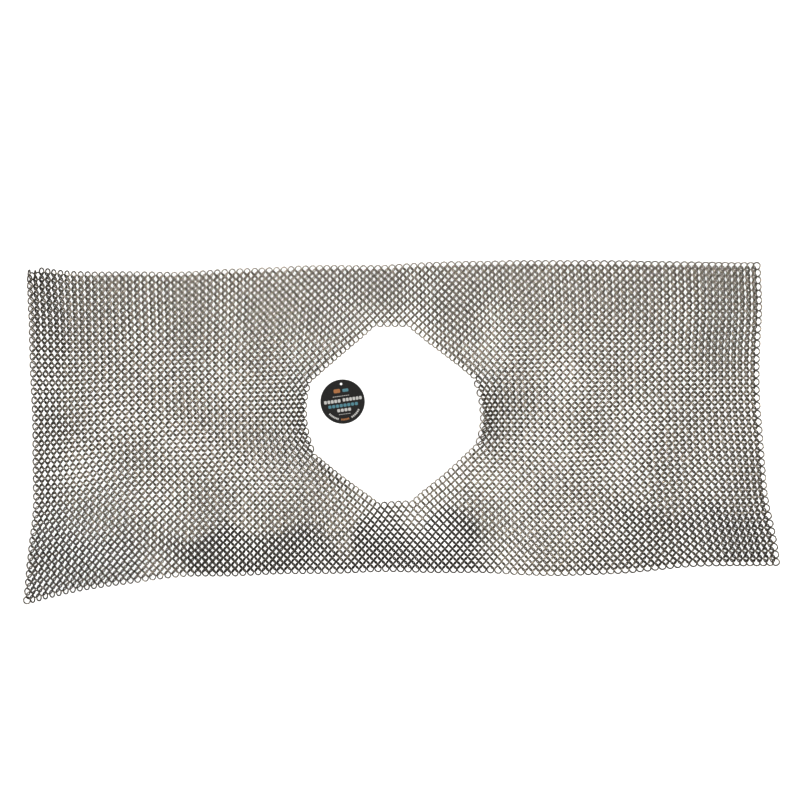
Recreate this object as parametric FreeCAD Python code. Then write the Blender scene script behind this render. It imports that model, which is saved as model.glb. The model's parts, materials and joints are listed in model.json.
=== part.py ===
"""Chain mail weighted vest, laid out flat, with its loose round swing tag.

Millimetres. +X runs along the vest, from the front hem to the back hem. +Y runs across it,
from the wearer's left to the wearer's right. +Z is up from the table that it lies on. The
origin is the bottom centre of the bounding box.

The mesh is about 7400 welded rings. Here it is a chain of strips. Each strip is a plain slab
that stands for the rings inside it, and each fold line between two strips is a column of
real rings, about whose centres the next strip turns.
"""
import FreeCAD
import Part

import math
import os

# The wire and the rings
WIRE = 1.4                      # wire diameter
RING_OUTSIDE = 9.2              # outside diameter of a ring
RING_LEAN = 25.0                # degrees that a ring leans from the table
ROW_PITCH = 9.5                 # from ring to ring along a fold line

# The neck opening, an octagon
NECK_X = -8.5                   # its centre
NECK_Y = 20.0
NECK_HALF_LENGTH = 96.5         # centre to the edges that run across the vest
NECK_HALF_WIDTH = 100.3         # centre to the edges that run along the vest
NECK_END_HALF = 41.8            # half of an edge that runs across
NECK_SIDE_HALF = 18.5           # half of an edge that runs along

# The hems: (x, y) of the vest's edge, hem to hem
RIGHT_HEM = [(-424, 188), (-386, 183), (-338, 181), (-223, 183), (-115, 188), (-13, 190),
             (89, 194), (191, 195.5), (292, 192.5), (408, 192.5)]
LEFT_HEM = [(-427.5, -195.4), (-386, -186), (-352, -177.5), (-318, -171), (-250, -165),
            (-160, -162), (-13, -158.5), (100, -159.5), (191, -164), (257, -159.5),
            (325, -152.5), (427.5, -151)]
FRONT_HEM = [(-195.4, -427.5), (-130, -421), (-90, -416), (0, -417.5), (80, -420), (188, -424)]
BACK_HEM = [(-151, 427.5), (-115, 422), (-80, 415), (-28, 409), (40, 404), (90, 404),
            (140, 408), (192.5, 406)]

# The fold lines, measured from the neck opening's centre
SHOULDER_FOLD = 22.0            # the first fold line, at the shoulders
NECK_FOLD = 100.7               # the fold line along the opening's end edge
SHOULDER_STRIPS = 2             # strips on each side between those two
PANEL_STRIPS = 7                # strips in the front panel, and in the back panel
FRONT_END = 311.5               # from the neck's fold line to the end of the last strip's pitch
BACK_END = 314.0
FOLD_GAP = 9.8                  # free width between two slabs, for the rings

# The swing tag
TAG_X, TAG_Y = -66.6, 34.4
TAG_RADIUS = 25.0
TAG_THICKNESS = 0.6
TAG_HOLE_RADIUS = 1.5
TAG_HOLE_OUT = 20.0             # tag centre to hole centre
TAG_TURN = 5.0                  # degrees that the tag lies turned, anticlockwise

ring_radius = (RING_OUTSIDE - WIRE) / 2
mesh_thickness = 2 * ring_radius * math.sin(math.radians(RING_LEAN)) + WIRE
ring_room = RING_OUTSIDE / 2


def between(points, at):
    """The straight-line value at a place along a list of (place, value) points."""
    for (a, low), (b, high) in zip(points, points[1:]):
        if at <= b:
            return low + (high - low) * (at - a) / (b - a)
    return points[-1][1]


def neck_half_width(x):
    """How far the neck opening reaches each way from its centre line, at x."""
    out = abs(x - NECK_X)
    slope = (NECK_HALF_WIDTH - NECK_END_HALF) / (NECK_HALF_LENGTH - NECK_SIDE_HALF)
    return NECK_HALF_WIDTH - max(0.0, out - NECK_SIDE_HALF) * slope


def slab(corners):
    """A closed slab as thick as the mesh, lying on the table, from its corners in order."""
    points = [FreeCAD.Vector(x, y, 0) for x, y in corners]
    face = Part.Face(Part.makePolygon(points + points[:1]))
    return face.extrude(FreeCAD.Vector(0, 0, mesh_thickness))


def save(name, shape):
    shape.exportStep("parts/" + name + ".step")


def panel_strip(name, x0, x1):
    """A strip of the front or back panel, from hem to hem."""
    save(name, slab([(x0, between(LEFT_HEM, x0)), (x1, between(LEFT_HEM, x1)),
                     (x1, between(RIGHT_HEM, x1)), (x0, between(RIGHT_HEM, x0))]))


def end_strip(name, x0, hem):
    """The last strip of a panel, whose outer edge is a hem that isn't quite straight."""
    edge = [(x, y) for y, x in hem]
    save(name, slab([(x0, between(LEFT_HEM, x0))] + edge + [(x0, between(RIGHT_HEM, x0))]))


def strap_strips(name, x0, x1):
    """The two strips beside the neck opening, over the left and the right shoulder."""
    near, far = neck_half_width(x0), neck_half_width(x1)
    save("left_" + name, slab([(x0, between(LEFT_HEM, x0)), (x1, between(LEFT_HEM, x1)),
                               (x1, NECK_Y - far), (x0, NECK_Y - near)]))
    save("right_" + name, slab([(x0, NECK_Y + near), (x1, NECK_Y + far),
                                (x1, between(RIGHT_HEM, x1)), (x0, between(RIGHT_HEM, x0))]))


def ring_column(name, x, low, high):
    """A column of welded rings along a fold line, evenly spaced between two edges."""
    first, last = low + ring_room, high - ring_room
    spaces = int((last - first) / ROW_PITCH)
    start = (first + last - spaces * ROW_PITCH) / 2
    lean = math.radians(RING_LEAN)
    axis = FreeCAD.Vector(math.sin(lean), 0, math.cos(lean))
    rings = [Part.makeTorus(ring_radius, WIRE / 2,
                            FreeCAD.Vector(x, start + k * ROW_PITCH, mesh_thickness / 2), axis)
             for k in range(spaces + 1)]
    save(name, Part.makeCompound(rings))
    return len(rings)


def fold_line(name, x):
    """The rings of one fold line: one column, or one on each side of the neck opening."""
    low, high = between(LEFT_HEM, x), between(RIGHT_HEM, x)
    if abs(x - NECK_X) >= NECK_FOLD:
        return ring_column(name + "_links", x, low, high)
    gap = neck_half_width(x)
    return (ring_column("left_" + name + "_links", x, low, NECK_Y - gap)
            + ring_column("right_" + name + "_links", x, NECK_Y + gap, high))


def side(name, way, end, hem):
    """Everything on one side of the shoulder strip, from the shoulders out to the hem."""
    half = FOLD_GAP / 2
    step = (NECK_FOLD - SHOULDER_FOLD) / SHOULDER_STRIPS
    straps = [SHOULDER_FOLD + k * step for k in range(SHOULDER_STRIPS + 1)]
    panels = [NECK_FOLD + k * end / PANEL_STRIPS for k in range(PANEL_STRIPS)]
    rings = 0
    for k, (a, b) in enumerate(zip(straps, straps[1:]), 1):
        x0, x1 = NECK_X + way * (a + half), NECK_X + way * (b - half)
        strap_strips(f"{name}_strap_{k}", min(x0, x1), max(x0, x1))
        rings += fold_line(f"{name}_strap_{k}", NECK_X + way * a)
    for k, a in enumerate(panels, 1):
        x0 = NECK_X + way * (a + half)
        rings += fold_line(f"{name}_panel_{k}", NECK_X + way * a)
        if k == PANEL_STRIPS:
            end_strip(f"{name}_panel_{k}", x0, hem)
        else:
            x1 = NECK_X + way * (panels[k] - half)
            panel_strip(f"{name}_panel_{k}", min(x0, x1), max(x0, x1))
    print(name, "fold lines at",
          [round(NECK_X + way * x, 2) for x in straps[:-1] + panels])
    return rings


def swing_tag():
    """A round card tag, punched near its edge, lying in the neck opening."""
    turn = math.radians(90 + TAG_TURN)
    tag = Part.makeCylinder(TAG_RADIUS, TAG_THICKNESS, FreeCAD.Vector(TAG_X, TAG_Y, 0))
    hole_x = TAG_X + TAG_HOLE_OUT * math.cos(turn)
    hole_y = TAG_Y + TAG_HOLE_OUT * math.sin(turn)
    hole = Part.makeCylinder(TAG_HOLE_RADIUS, TAG_THICKNESS, FreeCAD.Vector(hole_x, hole_y, 0))
    save("swing_tag", tag.cut(hole))
    print("tag hole at", round(hole_x, 3), round(hole_y, 3))


os.makedirs("parts", exist_ok=True)
edge = SHOULDER_FOLD - FOLD_GAP / 2
strap_strips("shoulder", NECK_X - edge, NECK_X + edge)
count = side("front", -1, FRONT_END, FRONT_HEM) + side("back", 1, BACK_END, BACK_HEM)
swing_tag()
print("mesh thickness", round(mesh_thickness, 3), "rings in the fold lines", count)
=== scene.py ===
"""Chain mail weighted vest: the looks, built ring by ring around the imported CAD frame.

Metres, in the CAD's frame: +X runs from the front hem to the back hem, +Y from the wearer's
left to the wearer's right, +Z up from the table. Rings are counted in half steps: m along X
and n down from the right hem, so that a ring sits wherever m and n are both even or both odd,
and is linked with the four at (m +- 1, n +- 1).
"""
import json
import math

import bmesh
import bpy
import numpy as np
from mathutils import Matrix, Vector

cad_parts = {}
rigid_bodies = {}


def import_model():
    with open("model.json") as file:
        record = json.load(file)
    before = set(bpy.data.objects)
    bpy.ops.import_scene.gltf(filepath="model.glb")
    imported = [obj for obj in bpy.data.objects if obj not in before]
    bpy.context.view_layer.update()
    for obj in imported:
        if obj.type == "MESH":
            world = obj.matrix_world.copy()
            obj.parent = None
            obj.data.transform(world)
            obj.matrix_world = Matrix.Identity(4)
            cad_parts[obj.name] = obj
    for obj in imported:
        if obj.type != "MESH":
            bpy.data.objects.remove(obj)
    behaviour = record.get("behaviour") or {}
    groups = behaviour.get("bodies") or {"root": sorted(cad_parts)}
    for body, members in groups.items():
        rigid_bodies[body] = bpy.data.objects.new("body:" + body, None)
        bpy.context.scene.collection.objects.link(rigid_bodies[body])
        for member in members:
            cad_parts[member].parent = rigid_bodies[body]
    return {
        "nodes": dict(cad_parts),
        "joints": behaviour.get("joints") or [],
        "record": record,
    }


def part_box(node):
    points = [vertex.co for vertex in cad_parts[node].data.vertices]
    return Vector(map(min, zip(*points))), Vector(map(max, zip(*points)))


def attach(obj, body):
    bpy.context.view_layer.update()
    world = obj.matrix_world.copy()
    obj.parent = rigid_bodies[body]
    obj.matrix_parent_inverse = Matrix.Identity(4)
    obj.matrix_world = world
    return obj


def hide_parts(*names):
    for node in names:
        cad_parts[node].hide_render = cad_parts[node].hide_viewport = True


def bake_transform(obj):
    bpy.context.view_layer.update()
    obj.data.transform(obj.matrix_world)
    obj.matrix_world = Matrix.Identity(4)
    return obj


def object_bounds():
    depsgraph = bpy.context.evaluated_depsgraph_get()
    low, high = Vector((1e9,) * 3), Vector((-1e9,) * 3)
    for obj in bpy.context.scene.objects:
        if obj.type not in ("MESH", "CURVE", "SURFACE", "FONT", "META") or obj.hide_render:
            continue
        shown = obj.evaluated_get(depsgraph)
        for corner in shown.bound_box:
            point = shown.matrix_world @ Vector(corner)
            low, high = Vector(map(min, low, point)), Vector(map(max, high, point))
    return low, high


MM = 0.001
rng = np.random.default_rng(7)

# The rings and the weave
WIRE = 1.4 * MM
RING_RADIUS = 3.9 * MM              # of the wire's centre line
LAST_M, LAST_N = 204, 78            # half steps from hem to hem
NECK_M, NECK_N = 102, 39            # the neck opening's centre
NECK_REACH_M, NECK_REACH_N = 20, 24  # half steps from there to its edges
NECK_CORNER = 29                    # and to its slanting edges, m and n together
END_INSET = 4.4 * MM                # hem to ring centre at the two end hems
SIDE_INSET = 4.6 * MM               # and at the two long hems
RELAXED_PITCH = 8.14 * MM           # column step at which a ring leans by LEAN
RING_STEPS, WIRE_STEPS = 28, 8      # faces round a ring, and round its wire
EASING_ROUNDS = 6000

# How the rings lie
WANDER = 0.5 * MM                   # slow drift of the columns and rows
JITTER = 0.07 * MM                  # each ring's own shift
LEAN = 25                           # degrees
LEAN_PER_MM = 14 / 1.5              # more degrees for each mm of column step less
LEAN_LIMITS = (18, 42)
LEAN_JITTER = 1.8
NECK_EDGE_LEAN = 7                  # more degrees at the neck opening's edge
CURL_LEAN = 30                      # more degrees in the curled corner
CURL_IN = 4.5 * MM                  # and how far that corner is drawn in

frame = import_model()
nodes = frame["nodes"]
cad_box = [list(corner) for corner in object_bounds()]


# ---------------------------------------------------------------- outline, from the CAD slabs

def slab_corners(node):
    """The corners of a slab, as (x, y) rows."""
    points = np.array([v.co[:2] for v in nodes[node].data.vertices])
    return np.unique(points.round(6), axis=0)


def hem_lines():
    """The four hems as lists of points: right, left, front and back."""
    slabs = [n for n in nodes if not n.endswith("_links") and n != "swing_tag"]
    right, left = [], []
    for name in slabs:
        points = slab_corners(name)
        for x in (points[:, 0].min(), points[:, 0].max()):
            ys = points[abs(points[:, 0] - x) < MM, 1]
            if not name.startswith("left_"):
                right.append((x, ys.max()))
            if not name.startswith("right_"):
                left.append((x, ys.min()))
    front = slab_corners("front_panel_7")
    front = front[front[:, 0] < front[:, 0].max() - 10 * MM]
    back = slab_corners("back_panel_7")
    back = back[back[:, 0] > back[:, 0].min() + 10 * MM]
    ends = [p[np.argsort(p[:, 1])] for p in (front, back)]
    for end in ends:
        left.append(tuple(end[0]))
        right.append(tuple(end[-1]))
    low, high = ends[0][0][0], ends[1][0][0]
    left = [p for p in sorted(left) if low <= p[0] <= high]
    low, high = ends[0][-1][0], ends[1][-1][0]
    right = [p for p in sorted(right) if low <= p[0] <= high]
    return np.array(right), np.array(left), ends[0], ends[1]


def smooth(points, at, axis):
    """Values at the given places along a line of points, rounded a little at its corners."""
    reach = 18 * MM
    offsets = np.linspace(-reach, reach, 9)
    places, values = points[:, axis], points[:, 1 - axis]
    room = np.minimum(at - places[0], places[-1] - at)[:, None]
    inside = at[:, None] + offsets * np.clip(room / reach, 0, 1)
    return np.interp(inside, places, values).mean(1)


def spread(profile, count):
    """Shares from 0 to 1 for equally counted rings whose pitch follows a profile."""
    at = np.linspace(0, 1, count + 1)
    middle = (at[1:] + at[:-1]) / 2
    pitch = np.interp(middle, *np.array(profile).T)
    share = np.concatenate([[0], np.cumsum(pitch)])
    return share / share[-1]


# Pitch against its usual size, from the front hem to the back hem and from right to left
COLUMN_PITCH = [(0, 0.82), (0.05, 0.88), (0.1, 0.97), (0.15, 1), (0.87, 1), (0.94, 0.93), (1, 0.84)]
ROW_PITCH = [(0, 0.90), (0.13, 0.92), (0.25, 0.98), (0.37, 1.03), (0.5, 1.05), (0.68, 1.05),
             (0.82, 1.01), (1, 1)]


def flat_lattice():
    """Where each (m, n) would lie between the hems, were there no neck opening."""
    right, left, front, back = hem_lines()
    s = spread(COLUMN_PITCH, LAST_M)
    t = spread(ROW_PITCH, LAST_N)
    top_x = right[0, 0] + END_INSET + s * (np.ptp(right[:, 0]) - 2 * END_INSET)
    low_x = left[0, 0] + END_INSET + s * (np.ptp(left[:, 0]) - 2 * END_INSET)
    top = np.stack([top_x, smooth(right, top_x, 0) - SIDE_INSET], 1)
    low = np.stack([low_x, smooth(left, low_x, 0) + SIDE_INSET], 1)
    front_y = top[0, 1] + t * (low[0, 1] - top[0, 1])
    back_y = top[-1, 1] + t * (low[-1, 1] - top[-1, 1])
    near = np.stack([smooth(front, front_y, 1) + END_INSET, front_y], 1)
    far = np.stack([smooth(back, back_y, 1) - END_INSET, back_y], 1)
    near += (top[0] - near[0]) * (1 - t)[:, None] + (low[0] - near[-1]) * t[:, None]
    far += (top[-1] - far[0]) * (1 - t)[:, None] + (low[-1] - far[-1]) * t[:, None]
    s, t = s[:, None, None], t[None, :, None]
    return ((1 - t) * top[:, None] + t * low[:, None] + (1 - s) * near[None] + s * far[None]
            - (1 - s) * (1 - t) * top[0] - s * (1 - t) * top[-1]
            - (1 - s) * t * low[0] - s * t * low[-1])


# ---------------------------------------------------------------- the neck opening

# Its ring line, corner by corner from the front end of its right edge, as shares of the CAD
# opening's half length and half width about its centre. An end edge has a middle point too.
NECK_LINE = {
    "right": [(-0.255, 1.015), (0.187, 1.022)],
    "back": [(0.935, 0.443), (1.045, 0.0), (0.957, -0.391)],
    "left": [(0.228, -1.022), (-0.205, -1.033)],
    "front": [(-0.93, -0.487), (-1.055, -0.04), (-0.995, 0.397)],
}


def neck_frame():
    """The CAD opening's centre, half length and half width."""
    x0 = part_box("front_panel_1_links")[1].x
    x1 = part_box("back_panel_1_links")[0].x
    y0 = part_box("left_shoulder")[1].y
    y1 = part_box("right_shoulder")[0].y
    return (np.array([(x0 + x1) / 2, (y0 + y1) / 2]), np.array([(x1 - x0) / 2, (y1 - y0) / 2]))


def run(points, count):
    """count + 1 evenly spaced points along a straight line, or a bow through three points."""
    t = np.linspace(0, 1, count + 1)[:, None]
    if len(points) == 2:
        return points[0] * (1 - t) + points[1] * t
    a, b, c = points
    control = 2 * b - (a + c) / 2
    return a * (1 - t) ** 2 + 2 * control * t * (1 - t) + c * t ** 2


def neck_edge():
    """{(m, n): place} for the rings round the neck opening."""
    centre, half = neck_frame()
    line = {k: [centre + half * np.array(p) for p in v] for k, v in NECK_LINE.items()}
    flat = NECK_CORNER - NECK_REACH_N
    end = NECK_CORNER - NECK_REACH_M
    slant = NECK_REACH_M - flat
    path = [
        ((-flat, -NECK_REACH_N), (2, 0), flat, line["right"]),
        ((flat, -NECK_REACH_N), (1, 1), slant, [line["right"][-1], line["back"][0]]),
        ((NECK_REACH_M, -end), (0, 2), end, line["back"]),
        ((NECK_REACH_M, end), (-1, 1), slant, [line["back"][-1], line["left"][0]]),
        ((flat, NECK_REACH_N), (-2, 0), flat, line["left"]),
        ((-flat, NECK_REACH_N), (-1, -1), slant, [line["left"][-1], line["front"][0]]),
        ((-NECK_REACH_M, end), (0, -2), end, line["front"]),
        ((-NECK_REACH_M, -end), (1, -1), slant, [line["front"][-1], line["right"][0]]),
    ]
    found = {}
    for (m, n), (dm, dn), count, points in path:
        for k, place in enumerate(run(points, count)):
            found[NECK_M + m + k * dm, NECK_N + n + k * dn] = place
    return found


def woven():
    """Which (m, n) hold a ring."""
    m, n = np.mgrid[0:LAST_M + 1, 0:LAST_N + 1]
    dm, dn = abs(m - NECK_M), abs(n - NECK_N)
    hole = (dm < NECK_REACH_M) & (dn < NECK_REACH_N) & (dm + dn < NECK_CORNER)
    return ((m + n) % 2 == 0) & ~hole


def eased(offsets, free, rings, rounds):
    """Offsets settled so that each free ring's is the mean of its neighbours'."""
    weight = rings.astype(float)

    def neighbours(a):
        p = np.pad(a, [(1, 1), (1, 1)] + [(0, 0)] * (a.ndim - 2))
        return p[2:, 2:] + p[2:, :-2] + p[:-2, 2:] + p[:-2, :-2]

    count = np.maximum(neighbours(weight), 1)[..., None]
    for _ in range(rounds):
        mean = neighbours(offsets * weight[..., None]) / count
        offsets = np.where(free[..., None], mean, offsets)
    return offsets


def lattice():
    """Every ring's place on the table, (m, n, 2), and the mask of rings."""
    rings = woven()
    base = flat_lattice()
    offsets = np.zeros_like(base)
    fixed = np.zeros(rings.shape, bool)
    fixed[[0, -1], :] = fixed[:, [0, -1]] = True
    for (m, n), place in neck_edge().items():
        offsets[m, n] = place - base[m, n]
        fixed[m, n] = True
    offsets = eased(offsets, rings & ~fixed, rings, EASING_ROUNDS)
    return base + offsets, rings


places, rings = lattice()
print("rings", int(rings.sum()))


# ---------------------------------------------------------------- how each ring lies

def waves(x, y, size, count, seed):
    """A smooth random field of about unit strength, from waves of about a given length."""
    own = np.random.default_rng(seed)
    field = np.zeros_like(x)
    for _ in range(count):
        turn, phase = own.uniform(0, 2 * math.pi, 2)
        length = size * own.uniform(0.7, 1.6)
        field += np.sin((x * math.cos(turn) + y * math.sin(turn)) * 2 * math.pi / length + phase)
    return field * math.sqrt(2 / count)


def local_steps(at, rings):
    """The local column step and row step of each ring, from its neighbours."""
    p = np.pad(at, ((1, 1), (1, 1), (0, 0)))
    r = np.pad(rings, 1)
    ne, nw, se, sw = (slice(2, None), slice(None, -2)), (slice(None, -2), slice(None, -2)), \
        (slice(2, None), slice(2, None)), (slice(None, -2), slice(2, None))

    def pair(a, b):
        both = (r[a] & r[b]).astype(float)[..., None]
        return (p[a] - p[b]) * both, both

    def mean(pairs, fallback):
        total = sum(x for x, _ in pairs)
        count = sum(c for _, c in pairs)
        return np.where(count > 0, total / np.maximum(count, 1), fallback)

    across = mean([pair(ne, nw), pair(se, sw)], np.array([RELAXED_PITCH, 0.0]))
    along = mean([pair(ne, se), pair(nw, sw)], np.array([0.0, RELAXED_PITCH]))
    return across, along


m_of, n_of = np.nonzero(rings)
x, y = places[m_of, n_of].T
across, along = (a[m_of, n_of] for a in local_steps(places, rings))
count = len(x)

x = x + WANDER * waves(x, y, 90 * MM, 12, 1) + rng.normal(0, JITTER, count)
y = y + WANDER * waves(x, y, 90 * MM, 12, 2) + rng.normal(0, JITTER, count)

# Half steps out from the neck opening's edge
neck_dm, neck_dn = abs(m_of - NECK_M), abs(n_of - NECK_N)
from_neck = np.maximum(np.maximum(neck_dm - NECK_REACH_M, neck_dn - NECK_REACH_N),
                       neck_dm + neck_dn - NECK_CORNER)

# The corner between the right and the front hem is drawn in, and its first rings turned up
curl = np.exp(-n_of / 2) / (1 + np.exp(3.0 * (m_of - 3)))
y = y - CURL_IN * curl

unit_along = along / np.linalg.norm(along, axis=1)[:, None]
side = np.stack([unit_along[:, 1], -unit_along[:, 0]], 1)
pitch = (across * side).sum(1)
lean = np.clip(LEAN + LEAN_PER_MM * (RELAXED_PITCH - pitch) / MM, *LEAN_LIMITS)
lean = lean + rng.normal(0, LEAN_JITTER, count)
lean = np.radians(lean + CURL_LEAN * curl + NECK_EDGE_LEAN * np.exp(-from_neck / 3))
lean *= np.where(n_of % 2 == 0, -1, 1)
lean[(n_of == LAST_N) & np.isin(m_of, (0, LAST_M))] *= 0.2      # two corner rings lie flatter
tip = np.radians(rng.normal(0, LEAN_JITTER, count))

normal = np.stack([np.sin(lean) * side[:, 0] + np.sin(tip) * unit_along[:, 0],
                   np.sin(lean) * side[:, 1] + np.sin(tip) * unit_along[:, 1],
                   np.cos(lean) * np.cos(tip)], 1)
normal /= np.linalg.norm(normal, axis=1)[:, None]
z = RING_RADIUS * np.sqrt(1 - normal[:, 2] ** 2) + WIRE / 2
centres = np.stack([x, y, z], 1)


# ---------------------------------------------------------------- ring meshes

WELD_REACH = 0.2                    # radians round the ring
WELD_BULGE = 0.16                   # share that the weld adds to the wire's radius


def ring_template():
    """One welded ring about the origin, its axis +Z, and each point's share of the weld."""
    turn = np.arange(RING_STEPS) * 2 * math.pi / RING_STEPS
    round_wire = np.arange(WIRE_STEPS) * 2 * math.pi / WIRE_STEPS
    away = np.minimum(turn, 2 * math.pi - turn)
    weld = np.exp(-(away / WELD_REACH) ** 2)
    wire = WIRE / 2 * (1 + WELD_BULGE * weld)[:, None]
    out = RING_RADIUS + wire * np.cos(round_wire)
    points = np.stack([out * np.cos(turn)[:, None], out * np.sin(turn)[:, None],
                       wire * np.sin(round_wire)], 2)
    i, j = np.mgrid[0:RING_STEPS, 0:WIRE_STEPS]
    i2, j2 = (i + 1) % RING_STEPS, (j + 1) % WIRE_STEPS
    faces = np.stack([i * WIRE_STEPS + j, i2 * WIRE_STEPS + j,
                      i2 * WIRE_STEPS + j2, i * WIRE_STEPS + j2], -1)
    return points.reshape(-1, 3), faces.reshape(-1, 4), np.repeat(weld, WIRE_STEPS)


# Patches of painted shade, where the steel is darkened as if those parts of the vest lay less lit:
# centre x and y, reach in x and y, and strength. Places are shares of the vest's half length and
# half width.
PAINTED_SHADE_PATCHES = [
    (-0.36, -0.78, 0.24, 0.19, 0.9),    # along the left hem, in front of the neck opening
    (0.03, -0.74, 0.20, 0.25, 1.0),     # the left shoulder
    (0.76, -0.72, 0.24, 0.28, 0.55),    # the left side of the back hem
    (-0.86, -0.86, 0.16, 0.28, 0.6),    # the left side of the front hem
    (-0.95, 0.0, 0.06, 1.2, 0.5),       # along the front hem
    (-0.02, 0.74, 0.22, 0.22, 0.3),     # the right shoulder
]


def painted_shade_field():
    """How much painted shade darkens each ring, from 0 to 1: the patches, and a little round the
    neck opening.
    """
    half = np.array(cad_box[1][:2])
    found = np.zeros(count)
    rough_edge = 0.12 * waves(x, y, 60 * MM, 10, 3)
    for px, py, reach_x, reach_y, strength in PAINTED_SHADE_PATCHES:
        dx, dy = (x / half[0] - px) / reach_x, (y / half[1] - py) / reach_y
        out = (abs(dx) ** 4 + abs(dy) ** 4) ** 0.25
        found = np.maximum(found, strength * np.clip((1.2 + rough_edge - out) / 0.35, 0, 1))
    # A little painted shade round the neck opening as well, fading out nine half steps from its
    # edge
    return np.maximum(found, 0.25 * np.clip(1 - from_neck / 9, 0, 1))


TEMPLATE, FACES, WELD = ring_template()
spin = rng.uniform(0, 2 * math.pi, count)
tone = np.clip(rng.normal(0.5, 0.18, count), 0, 1)
# Each ring's painted shade, which darkens its steel colour
painted_shade = painted_shade_field()


def turned(which):
    """The template's points at each chosen ring's place, (rings, points, 3)."""
    n = normal[which]
    u = np.cross(np.array([0.0, 1.0, 0.0]), n)
    u /= np.linalg.norm(u, axis=1)[:, None]
    v = np.cross(n, u)
    c, s = np.cos(spin[which])[:, None], np.sin(spin[which])[:, None]
    a, b = u * c + v * s, v * c - u * s
    return (TEMPLATE[:, 0, None] * a[:, None] + TEMPLATE[:, 1, None] * b[:, None]
            + TEMPLATE[:, 2, None] * n[:, None] + centres[which][:, None])


def mesh_of(name, points, faces):
    """A smooth-shaded mesh object from arrays of points and four-cornered faces."""
    mesh = bpy.data.meshes.new(name)
    mesh.vertices.add(len(points))
    mesh.vertices.foreach_set("co", points.astype(np.float32).ravel())
    mesh.loops.add(faces.size)
    mesh.loops.foreach_set("vertex_index", faces.astype(np.int32).ravel())
    mesh.polygons.add(len(faces))
    mesh.polygons.foreach_set("loop_start", np.arange(0, faces.size, 4, dtype=np.int32))
    mesh.update(calc_edges=True)
    mesh.polygons.foreach_set("use_smooth", np.ones(len(faces), bool))
    piece = bpy.data.objects.new(name, mesh)
    bpy.context.scene.collection.objects.link(piece)
    return piece


def mail(name, which, material):
    """A piece of mail from the chosen rings."""
    points = turned(which)
    faces = FACES[None] + (np.arange(len(which)) * len(TEMPLATE))[:, None, None]
    piece = mesh_of(name, points.reshape(-1, 3), faces.reshape(-1, 4))
    # Each ring's random tone, its painted shade and its share of the weld go onto all its points
    for label, values in (("tone", np.repeat(tone[which], len(TEMPLATE))),
                          ("painted_shade", np.repeat(painted_shade[which], len(TEMPLATE))),
                          ("weld", np.tile(WELD, len(which)))):
        layer = piece.data.attributes.new(label, "FLOAT", "POINT")
        layer.data.foreach_set("value", values.astype(np.float32))
    piece.data.materials.append(material)
    return piece


# ---------------------------------------------------------------- materials

class Nodes:
    """A material's node tree, with short calls for adding and linking."""

    def __init__(self, name):
        self.material = bpy.data.materials.new(name)
        self.material.use_nodes = True
        self.tree = self.material.node_tree
        self.shader = self.tree.nodes["Principled BSDF"]

    def add(self, kind, inputs=(), **settings):
        node = self.tree.nodes.new("ShaderNode" + kind)
        for key, value in settings.items():
            setattr(node, key, value)
        for key, value in dict(inputs).items():
            if isinstance(value, bpy.types.NodeSocket):
                self.tree.links.new(value, node.inputs[key])
            else:
                node.inputs[key].default_value = value
        return node

    def feed(self, socket, value):
        if isinstance(value, bpy.types.NodeSocket):
            self.tree.links.new(value, self.shader.inputs[socket])
        else:
            self.shader.inputs[socket].default_value = value


def steel():
    """Dull stainless wire: grey with a warm cast, each ring a little different, and darkened by
    painted shade in patches.
    """
    s = Nodes("mail_steel")
    ring = s.add("Attribute", attribute_name="tone").outputs["Fac"]
    weld = s.add("Attribute", attribute_name="weld").outputs["Fac"]
    place = s.add("TexCoord").outputs["Object"]
    fine = s.add("TexNoise", {"Vector": place, "Scale": 900.0, "Detail": 3.0}).outputs["Fac"]
    broad = s.add("TexNoise", {"Vector": place, "Scale": 60.0, "Detail": 2.0}).outputs["Fac"]
    grey = s.add("Mix", {"Factor": ring, "A": (0.28, 0.26, 0.225, 1), "B": (0.52, 0.49, 0.44, 1)},
                 data_type="RGBA")
    warm = s.add("Mix", {"Factor": broad, "A": grey.outputs["Result"], "B": (0.48, 0.43, 0.36, 1)},
                 data_type="RGBA")
    tint = s.add("Math", {0: weld, 1: 0.35}, operation="MULTIPLY").outputs[0]
    colour = s.add("Mix", {"Factor": tint, "A": warm.outputs["Result"], "B": (0.42, 0.33, 0.22, 1)},
                   data_type="RGBA")
    # Painted shade: each ring's shade value mixes its colour up to 80 % of the way towards near
    # black
    painted_shade_fac = s.add("Attribute", attribute_name="painted_shade").outputs["Fac"]
    share = s.add("Math", {0: painted_shade_fac, 1: 0.8}, operation="MULTIPLY").outputs[0]
    final = s.add("Mix", {"Factor": share, "A": colour.outputs["Result"],
                          "B": (0.06, 0.052, 0.044, 1)}, data_type="RGBA")
    s.feed("Base Color", final.outputs["Result"])
    rough = s.add("MapRange", {"Value": fine, "To Min": 0.2, "To Max": 0.34})
    s.feed("Roughness", rough.outputs["Result"])
    s.feed("Metallic", 1.0)
    bump = s.add("Bump", {"Height": fine, "Strength": 0.15, "Distance": 0.0001})
    s.feed("Normal", bump.outputs["Normal"])
    return s.material


STEEL = steel()


# ---------------------------------------------------------------- the mail, strip by strip

def fold_lines():
    """Each fold joint with its line's x, and the x where the strip that it turns ends."""
    folds = [j for j in frame["joints"] if j["type"] == "hinge"]
    for j in folds:
        outer = [k for k in folds if k["parent"] == j["child"]]
        if outer:
            end = outer[0]["pos_m"][0]
        else:
            low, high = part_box(j["child"])
            end = low.x if j["pos_m"][0] < 0 else high.x
        yield j, j["pos_m"][0], end


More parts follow.
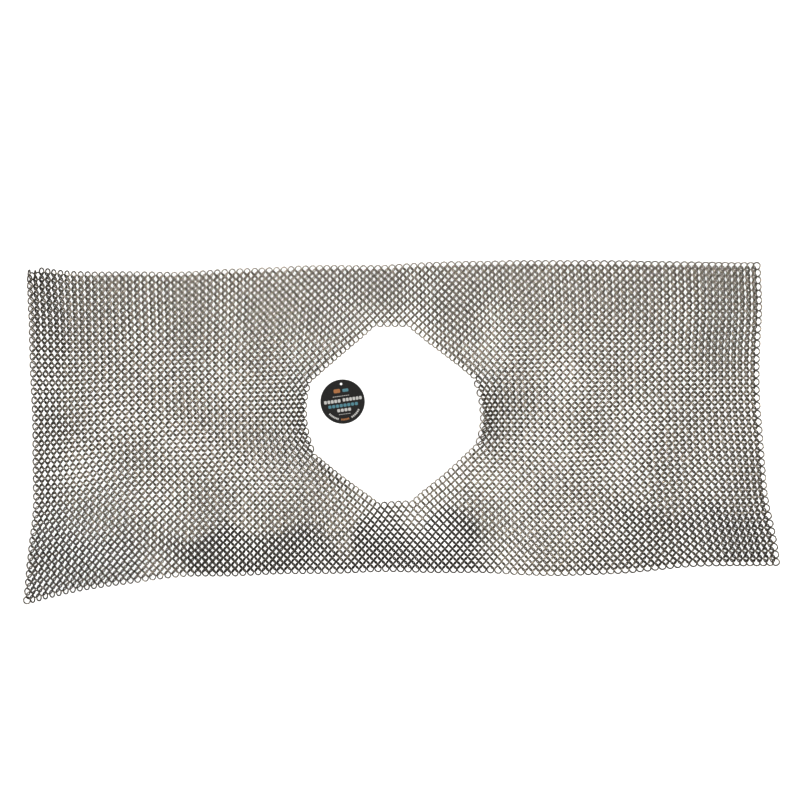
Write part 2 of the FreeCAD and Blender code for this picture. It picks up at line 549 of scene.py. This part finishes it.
def strip_pieces():
    """The rings of each strip, cut at its fold lines, as a left and a right piece."""
    middle = neck_frame()[0][1]
    folds = list(fold_lines())
    inner = [x0 for j, x0, _ in folds if j["parent"] == "shoulders"]
    strips = [("shoulders", None, min(inner), max(inner))]
    strips += [(j["child"], j, x0, x1) for j, x0, x1 in folds]
    made = 0
    for body, joint, x0, x1 in strips:
        low, high = min(x0, x1), max(x0, x1)
        if joint and not [f for f in folds if f[0]["parent"] == body]:
            low, high = (-1, high) if x1 < x0 else (low, 1)
        for half, on in (("left", y < middle), ("right", y >= middle)):
            which = np.nonzero((x >= low) & (x < high) & on)[0]
            piece = mail(f"{half}_{body}_mail", which, STEEL)
            members = frame["record"]["behaviour"]["bodies"][body]
            own = [n for n in members if n.startswith(half)]
            if not own:
                own = [body] if half == "left" else [body + "_links"]
            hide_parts(*own)
            if joint:
                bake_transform(piece)
            else:
                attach(piece, body)
            made += len(which)
    print("rings placed", made, "of", count)


strip_pieces()


# ---------------------------------------------------------------- swing tag

def card():
    """Dark uncoated card with a faint fibre."""
    s = Nodes("tag_card")
    place = s.add("TexCoord").outputs["Object"]
    fibre = s.add("TexNoise", {"Vector": place, "Scale": 700.0, "Detail": 4.0}).outputs["Fac"]
    colour = s.add("Mix", {"Factor": fibre, "A": (0.040, 0.039, 0.038, 1),
                           "B": (0.075, 0.072, 0.070, 1)}, data_type="RGBA")
    s.feed("Base Color", colour.outputs["Result"])
    s.feed("Roughness", 0.6)
    bump = s.add("Bump", {"Height": fibre, "Strength": 0.2, "Distance": 0.0001})
    s.feed("Normal", bump.outputs["Normal"])
    return s.material


tag = nodes["swing_tag"]
tag.data.materials.clear()
tag.data.materials.append(card())

# Plain blocks of ink stand where the real tag has its words and mark. Sizes in millimetres from
# the tag's centre: colour, x, y, length of the row, height, blocks in it.
INK_TURN = math.radians(8)
INK_THICKNESS = 0.04 * MM
INK_ROWS = [
    ("orange", -4.8, 12.6, 9.0, 4.6, 1),
    ("blue", 4.9, 12.4, 8.2, 3.6, 1),
    ("white", -1.0, 6.4, 19.0, 0.8, 9),
    ("white", -11.6, 1.3, 19.5, 3.9, 5),
    ("white", 11.2, 1.7, 22.5, 3.9, 6),
    ("blue", 0.0, -4.3, 34.5, 3.7, 8),
    ("white", 0.4, -9.6, 16.5, 3.7, 4),
    ("white", 0.4, -14.2, 13.5, 0.7, 7),
]
# Blocks along the lower edge: colour, first angle, last angle, blocks
INK_ARCS = [("white", 214, 250, 7), ("orange", 257, 284, 6), ("white", 291, 328, 6)]
ARC_RADIUS, ARC_HEIGHT = 20.3, 2.3
ROW_FILL, ARC_FILL = 0.84, 0.8      # block length as a share of its step
INK_COLOURS = {
    "white": (0.95, 0.94, 0.91),
    "blue": (0.24, 0.52, 0.60),
    "orange": (0.78, 0.38, 0.17),
}


def block(length, height):
    """The outline of a block with rounded corners about the origin, (points, 2)."""
    corner = 0.3 * min(length, height)
    quarter = np.linspace(0, math.pi / 2, 5)
    points = []
    for k, (sx, sy) in enumerate(((1, 1), (-1, 1), (-1, -1), (1, -1))):
        middle = np.array([sx * (length / 2 - corner), sy * (height / 2 - corner)])
        turn = quarter + k * math.pi / 2
        points.append(middle + corner * np.stack([np.cos(turn), np.sin(turn)], 1))
    return np.concatenate(points)


def rotated(points, turn):
    """Points turned anticlockwise about the origin."""
    c, s = math.cos(turn), math.sin(turn)
    return points @ np.array([[c, s], [-s, c]])


def ink_outlines():
    """{colour: outlines in millimetres from the tag's centre}."""
    found = {colour: [] for colour in INK_COLOURS}
    for colour, px, py, length, height, blocks in INK_ROWS:
        step = length / blocks
        for k in range(blocks):
            at = np.array([px - length / 2 + step * (k + 0.5), py])
            found[colour].append(rotated(block(step * ROW_FILL, height) + at, INK_TURN))
    for colour, first, last, blocks in INK_ARCS:
        step = math.radians(last - first) / blocks
        for k in range(blocks):
            angle = math.radians(first) + step * (k + 0.5)
            out = np.array([math.cos(angle), math.sin(angle)])
            shape = rotated(block(ARC_RADIUS * step * ARC_FILL, ARC_HEIGHT), angle + math.pi / 2)
            found[colour].append(rotated(shape + ARC_RADIUS * out, INK_TURN))
    return found


def ink(name, colour):
    """Printing ink, a little uneven where the card's grain shows through."""
    s = Nodes("ink_" + name)
    place = s.add("TexCoord").outputs["Object"]
    grain = s.add("TexNoise", {"Vector": place, "Scale": 1500.0, "Detail": 3.0}).outputs["Fac"]
    worn = s.add("MapRange", {"Value": grain, "From Min": 0.35, "From Max": 0.75,
                              "To Min": 0.0, "To Max": 0.45})
    mixed = s.add("Mix", {"Factor": worn.outputs["Result"], "A": (*colour, 1),
                          "B": (*[0.5 * c for c in colour], 1)}, data_type="RGBA")
    s.feed("Base Color", mixed.outputs["Result"])
    s.feed("Roughness", 0.5)
    return s.material


def tag_print():
    """The blocks of each colour as one piece of thin closed prisms on the card."""
    low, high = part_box("swing_tag")
    centre = np.array([(low.x + high.x) / 2, (low.y + high.y) / 2])
    for colour, outlines in ink_outlines().items():
        shape = bmesh.new()
        for outline in outlines:
            rims = [[shape.verts.new((*(centre + p * MM), z)) for p in outline]
                    for z in (high.z, high.z + INK_THICKNESS)]
            shape.faces.new(rims[0][::-1])
            shape.faces.new(rims[1])
            for a, b, c, d in zip(rims[0], rims[0][1:] + rims[0][:1],
                                  rims[1][1:] + rims[1][:1], rims[1]):
                shape.faces.new((a, b, c, d))
        mesh = bpy.data.meshes.new("tag_print_" + colour)
        shape.to_mesh(mesh)
        shape.free()
        mesh.materials.append(ink(colour, INK_COLOURS[colour]))
        piece = bpy.data.objects.new("tag_print_" + colour, mesh)
        bpy.context.scene.collection.objects.link(piece)
        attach(piece, "swing_tag")


tag_print()


# ---------------------------------------------------------------- floor, light, camera

FLOOR_DROP = 0.2 * MM               # below the table plane, clear of the lowest wire
FLOOR_COLOUR = (0.35, 0.343, 0.3325, 1)
FLOOR_GLOW, WORLD_GLOW = 0.2, 0.28  # as light, away from the camera's own view
LIGHT_OUT, LIGHT_Y, LIGHT_HEIGHT = 1.8, 0.1, 1.5
LIGHT_SIZE, LIGHT_POWER = 0.9, 21
CAMERA_X, CAMERA_Y, CAMERA_HEIGHT = -0.0017, 0.0362, 1.3
SEEN_ACROSS = 0.905                 # width of the table in the picture


def white_to_camera(tree, strength_socket, elsewhere):
    """Full white where the camera sees it, and a given strength as light for the rest."""
    path = tree.nodes.new("ShaderNodeLightPath")
    strength = tree.nodes.new("ShaderNodeMapRange")
    tree.links.new(path.outputs["Is Camera Ray"], strength.inputs["Value"])
    strength.inputs["To Min"].default_value = elsewhere
    strength.inputs["To Max"].default_value = 1.0
    tree.links.new(strength.outputs["Result"], strength_socket)


def floor():
    """A plain white floor that glows, so that it shows no shadow, as in a cut-out picture."""
    bpy.ops.mesh.primitive_plane_add(size=20, location=(0, 0, -FLOOR_DROP))
    plane = bpy.context.object
    plane.name = "floor"
    s = Nodes("floor_white")
    s.feed("Base Color", FLOOR_COLOUR)
    s.feed("Roughness", 1.0)
    s.feed("Specular IOR Level", 0.0)
    s.feed("Emission Color", (1, 1, 1, 1))
    white_to_camera(s.tree, s.shader.inputs["Emission Strength"], FLOOR_GLOW)
    plane.data.materials.append(s.material)


def softbox(name, place):
    """A round soft light aimed at the middle of the vest."""
    data = bpy.data.lights.new(name, "AREA")
    data.shape, data.size, data.energy = "DISK", LIGHT_SIZE, LIGHT_POWER
    light = bpy.data.objects.new(name, data)
    bpy.context.scene.collection.objects.link(light)
    light.location = place
    light.rotation_euler = (-Vector(place)).to_track_quat("-Z", "Y").to_euler()


def world():
    """Plain white surroundings."""
    studio = bpy.data.worlds.new("studio")
    studio.use_nodes = True
    background = studio.node_tree.nodes["Background"]
    background.inputs["Color"].default_value = (1, 1, 1, 1)
    white_to_camera(studio.node_tree, background.inputs["Strength"], WORLD_GLOW)
    bpy.context.scene.world = studio


def camera():
    """Straight above the vest, near enough that the rings at its ends are seen from the side."""
    data = bpy.data.cameras.new("camera")
    data.angle = 2 * math.atan(SEEN_ACROSS / 2 / CAMERA_HEIGHT)
    cam = bpy.data.objects.new("camera", data)
    cam.location = (CAMERA_X, CAMERA_Y, CAMERA_HEIGHT)
    bpy.context.scene.collection.objects.link(cam)
    bpy.context.scene.camera = cam


floor()
world()
softbox("left", (-LIGHT_OUT, LIGHT_Y, LIGHT_HEIGHT))
softbox("right", (LIGHT_OUT, LIGHT_Y, LIGHT_HEIGHT))
camera()
bpy.context.scene.view_settings.view_transform = "Standard"
bpy.context.scene.view_settings.gamma = 0.72
